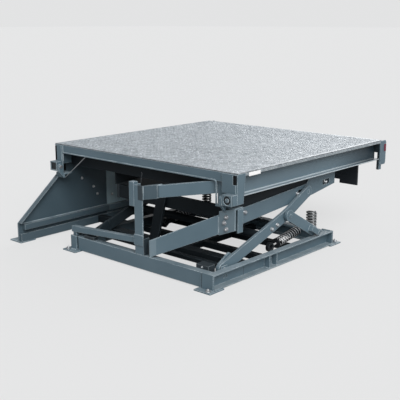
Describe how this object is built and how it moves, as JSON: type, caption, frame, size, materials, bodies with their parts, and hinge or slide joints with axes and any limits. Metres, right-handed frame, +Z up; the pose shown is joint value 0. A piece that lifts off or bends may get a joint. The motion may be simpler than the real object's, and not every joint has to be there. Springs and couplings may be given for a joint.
{
  "type": "dock leveler",
  "caption": "Spring-assisted dock leveler: hinged tread-plate deck with a hanging lip on a floor frame, lifted by slotted lift arms and roller struts.",
  "frame": {"origin": "centre of the bounding box at floor level", "axes": "+X along the deck hinge line towards the side with the open linkage, +Y from the hinge end towards the lip, +Z up"},
  "size_m": [2.132, 2.517, 0.792],
  "materials": {
    "tread_plate": "satin tread plate",
    "slate_paint": "satin slate paint",
    "dark_paint": "satin dark slate paint",
    "black_paint": "satin black paint",
    "bare_steel": "turned steel",
    "spring_steel": "oiled spring steel"
  },
  "bodies": {
    "base": {"base_right_beam": "slate_paint", "base_left_beam": "slate_paint", "base_rear_beam": "slate_paint", "base_front_beam": "slate_paint", "base_end_plates": "slate_paint", "foot_plates": "slate_paint", "cross_members": "dark_paint", "center_tie": "dark_paint", "outriggers": "dark_paint", "middle_post": "slate_paint", "post_box": "slate_paint", "top_arm": "slate_paint", "lower_beam": "slate_paint", "hinge_bracket": "slate_paint", "hinge_leg": "slate_paint", "hinge_upright": "slate_paint", "hinge_seats": "slate_paint", "hinge_ears": "slate_paint", "side_plate": "slate_paint", "side_bars": "slate_paint", "side_rail": "slate_paint", "side_panel": "slate_paint", "side_feet": "slate_paint", "rear_rail": "slate_paint", "control_boxes": "black_paint", "arm_lugs": "slate_paint", "arm_pins": "bare_steel", "spring_anchors": "black_paint", "main_springs": "spring_steel", "buffer_springs": "spring_steel", "prop_bar": "dark_paint"},
    "deck": {"deck_plate": "tread_plate", "rear_header": "slate_paint", "corner_plates": "slate_paint", "corner_strips": "slate_paint", "hinge_blocks": "slate_paint", "hinge_pins": "bare_steel", "right_channel": "slate_paint", "left_channel": "slate_paint", "front_header": "slate_paint", "rear_cross_beam": "dark_paint", "deck_ribs": "dark_paint", "lever_stringers": "dark_paint", "levers": "slate_paint", "lever_beam": "dark_paint", "end_plates": "slate_paint", "lip_lugs": "slate_paint"},
    "lip": {"lip_plate": "black_paint", "lip_tubes": "black_paint", "lip_pin": "bare_steel"},
    "lift_arm": {"lift_arms": "slate_paint", "lift_tube": "dark_paint", "lift_pins": "slate_paint"},
    "strut": {"struts": "slate_paint", "strut_shaft": "slate_paint", "strut_rollers": "bare_steel"}
  },
  "joints": [
    {"name": "deck_tilt", "type": "hinge", "parent": "base", "child": "deck", "pos_m": [0, -0.8715, 0.605], "axis": [1, 0, 0], "range_deg": [0, 9]},
    {"name": "lip_swing", "type": "hinge", "parent": "deck", "child": "lip", "pos_m": [0, 1.1905, 0.771], "axis": [1, 0, 0], "range_deg": [0, 90]},
    {"name": "lift_arm_swing", "type": "hinge", "parent": "base", "child": "lift_arm", "pos_m": [0, -0.8935, 0.106], "axis": [1, 0, 0], "range_deg": [0, 9]},
    {"name": "strut_swing", "type": "hinge", "parent": "lift_arm", "child": "strut", "pos_m": [0, -0.1335, 0.35214], "axis": [1, 0, 0], "range_deg": [-30, 0], "deforming": ["main_springs"]}
  ],
  "couplings": [
    {"joint": "lift_arm_swing", "follows": "deck_tilt", "ratio": 0.948},
    {"joint": "strut_swing", "follows": "deck_tilt", "ratio": -3.11}
  ]
}
